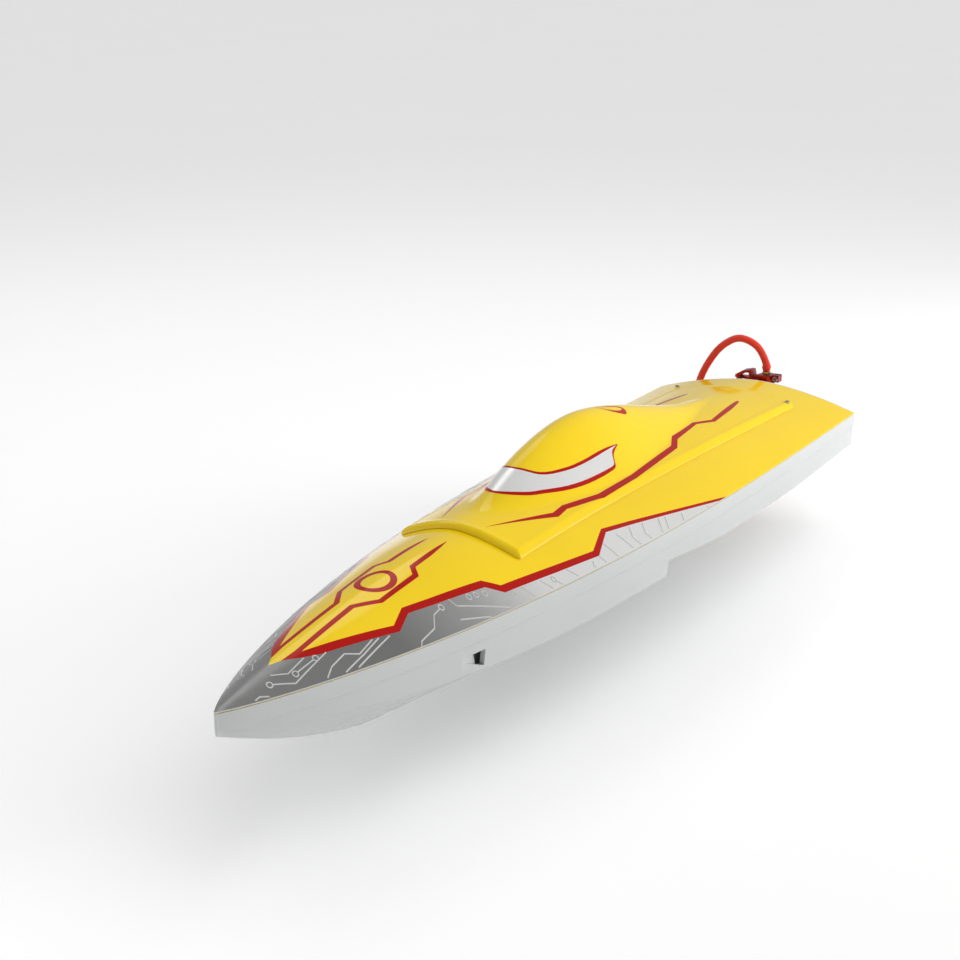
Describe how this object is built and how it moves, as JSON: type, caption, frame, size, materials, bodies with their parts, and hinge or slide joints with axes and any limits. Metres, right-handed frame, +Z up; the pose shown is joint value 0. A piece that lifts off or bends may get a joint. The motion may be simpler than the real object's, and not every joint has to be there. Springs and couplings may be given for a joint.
{
  "type": "radio controlled speed boat",
  "caption": "Self-righting monohull speed boat with a lift-off cockpit hatch, water-cooled inboard motor, propeller, steering rudder and trim tabs.",
  "frame": {"origin": "under the middle of the boat, level with the foot of the rudder", "axes": "+X towards the bow, +Y to port, +Z up"},
  "size_m": [0.668, 0.15, 0.1392],
  "materials": {
    "grey_gelcoat": "gloss",
    "yellow_gelcoat": "gloss",
    "red_anodised": "satin",
    "aluminium": "satin",
    "steel": "brushed",
    "brass": "polished",
    "bronze": "polished",
    "red_silicone": "satin",
    "black_plastic": "matte",
    "black_rubber": "matte",
    "webbing": "matte",
    "blue_wrap": "gloss",
    "foam": "matte",
    "plywood": "sealed"
  },
  "bodies": {
    "hull": {"hull_shell": "grey_gelcoat", "flood_chamber": "grey_gelcoat", "deck_shell": "yellow_gelcoat", "bow_foam": "foam", "side_foam": "foam", "battery_tray": "plywood", "battery": "blue_wrap", "battery_strap_aft": "webbing", "battery_strap_fore": "webbing", "equipment_shelf": "plywood", "speed_controller": "black_plastic", "receiver_shelf": "plywood", "receiver": "black_plastic", "power_switch": "black_plastic", "servo_mount": "plywood", "steering_servo": "black_plastic", "motor": "aluminium", "cooling_jacket": "red_anodised", "motor_mount": "aluminium", "stuffing_tube": "brass", "drive_cable": "steel", "strut": "red_anodised", "strut_screw_aft": "steel", "strut_screw_fore": "steel", "rudder_bracket": "red_anodised", "bracket_screw_1": "steel", "bracket_screw_2": "steel", "bracket_screw_3": "steel", "bracket_screw_4": "steel", "pushrod_bellows": "black_rubber", "water_inlet_elbow": "brass", "water_outlet": "brass", "drain_plug": "black_rubber", "cooling_hose": "red_silicone", "trim_hinge_left": "aluminium", "trim_hinge_right": "aluminium"},
    "hatch": {"hatch_cover": "yellow_gelcoat", "hatch_seal": "black_rubber", "hatch_screw_left": "steel", "hatch_screw_right": "steel"},
    "drive": {"prop_shaft": "steel", "drive_dog": "steel", "propeller": "bronze", "prop_nut": "steel"},
    "rotor": {"motor_shaft": "steel", "coupler": "steel"},
    "rudder": {"rudder_post": "steel", "rudder_block": "red_anodised", "rudder_blade": "aluminium", "blade_screw_1": "steel", "blade_screw_2": "steel", "rudder_arm": "red_anodised", "arm_clamp_screw": "steel", "rudder_nipple": "brass"},
    "steering_rod": {"pushrod": "steel"},
    "horn": {"servo_horn": "black_plastic"},
    "slider": {"switch_slider": "red_silicone"},
    "tab_left": {"trim_tab_left": "aluminium"},
    "tab_right": {"trim_tab_right": "aluminium"}
  },
  "joints": [
    {"name": "hatch_lift", "type": "slide", "parent": "hull", "child": "hatch", "axis": [0, 0, 1], "range_m": [0, 0.07]},
    {"name": "propeller_spin", "type": "hinge", "parent": "hull", "child": "drive", "pos_m": [-0.294, 0, 0.025], "axis": [1, 0, 0], "continuous": true},
    {"name": "motor_spin", "type": "hinge", "parent": "hull", "child": "rotor", "pos_m": [-0.086, 0, 0.05497], "axis": [0.9903, 0, 0.1392], "continuous": true},
    {"name": "rudder_turn", "type": "hinge", "parent": "hull", "child": "rudder", "pos_m": [-0.32, -0.0057, 0.082], "axis": [0, 0, 1], "range_deg": [-30, 30]},
    {"name": "pushrod_slide", "type": "slide", "parent": "hull", "child": "steering_rod", "axis": [1, 0, 0], "range_m": [-0.0113, 0.0113]},
    {"name": "servo_turn", "type": "hinge", "parent": "hull", "child": "horn", "pos_m": [-0.211, -0.011, 0.082], "axis": [0, 0, 1], "range_deg": [-40.5, 40.5]},
    {"name": "switch_slide", "type": "slide", "parent": "hull", "child": "slider", "axis": [1, 0, 0], "range_m": [0, 0.0036]},
    {"name": "trim_left", "type": "hinge", "parent": "hull", "child": "tab_left", "pos_m": [-0.289, 0.04233, 0.05034], "axis": [0, 0.9427, 0.3337], "range_deg": [-8, 8]},
    {"name": "trim_right", "type": "hinge", "parent": "hull", "child": "tab_right", "pos_m": [-0.289, -0.04233, 0.05034], "axis": [0, 0.9427, -0.3337], "range_deg": [-8, 8]}
  ],
  "couplings": [
    {"joint": "motor_spin", "follows": "propeller_spin", "ratio": 1},
    {"joint": "pushrod_slide", "follows": "rudder_turn", "m_per_rad": 0.0213},
    {"joint": "servo_turn", "follows": "rudder_turn", "ratio": 1.3313}
  ]
}
